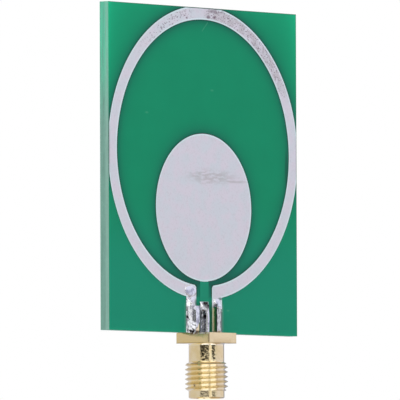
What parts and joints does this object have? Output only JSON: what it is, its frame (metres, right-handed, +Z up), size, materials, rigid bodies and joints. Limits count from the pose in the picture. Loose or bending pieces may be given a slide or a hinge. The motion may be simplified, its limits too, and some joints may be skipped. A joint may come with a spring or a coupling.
{
  "type": "uwb antenna module",
  "caption": "Flat green antenna board with a tinned disc inside an open tinned ring, fed at its lower edge by a gold-plated edge-launch coax jack.",
  "frame": {"origin": "middle of the jack's open end, where the plug goes in", "axes": "+Z up the jack's axis to the board, -Y out of the printed side, X across the board's width"},
  "size_m": [0.043, 0.0064, 0.0578],
  "materials": {
    "laminate": "cut glass-epoxy edge, pale green and slightly translucent",
    "solder_mask": "smooth green coat with a soft gloss",
    "tinned_copper": "matt tin with faint mottling and dark specks",
    "gold_plate": "bright gold plate on turned brass",
    "insulator": "waxy white",
    "solder": "bright hand-made solder with dull patches"
  },
  "bodies": {
    "root": {"fr4_board": "laminate", "ring_conductor": "tinned_copper", "disc_conductor": "tinned_copper", "front_solder_mask": "solder_mask", "rear_solder_mask": "solder_mask", "rear_pad_left": "tinned_copper", "rear_pad_right": "tinned_copper", "connector_shell": "gold_plate", "insulator": "insulator", "centre_contact": "gold_plate", "solder_front_left": "solder", "solder_front_right": "solder", "solder_centre": "solder", "solder_rear_left": "solder", "solder_rear_right": "solder"}
  },
  "joints": []
}
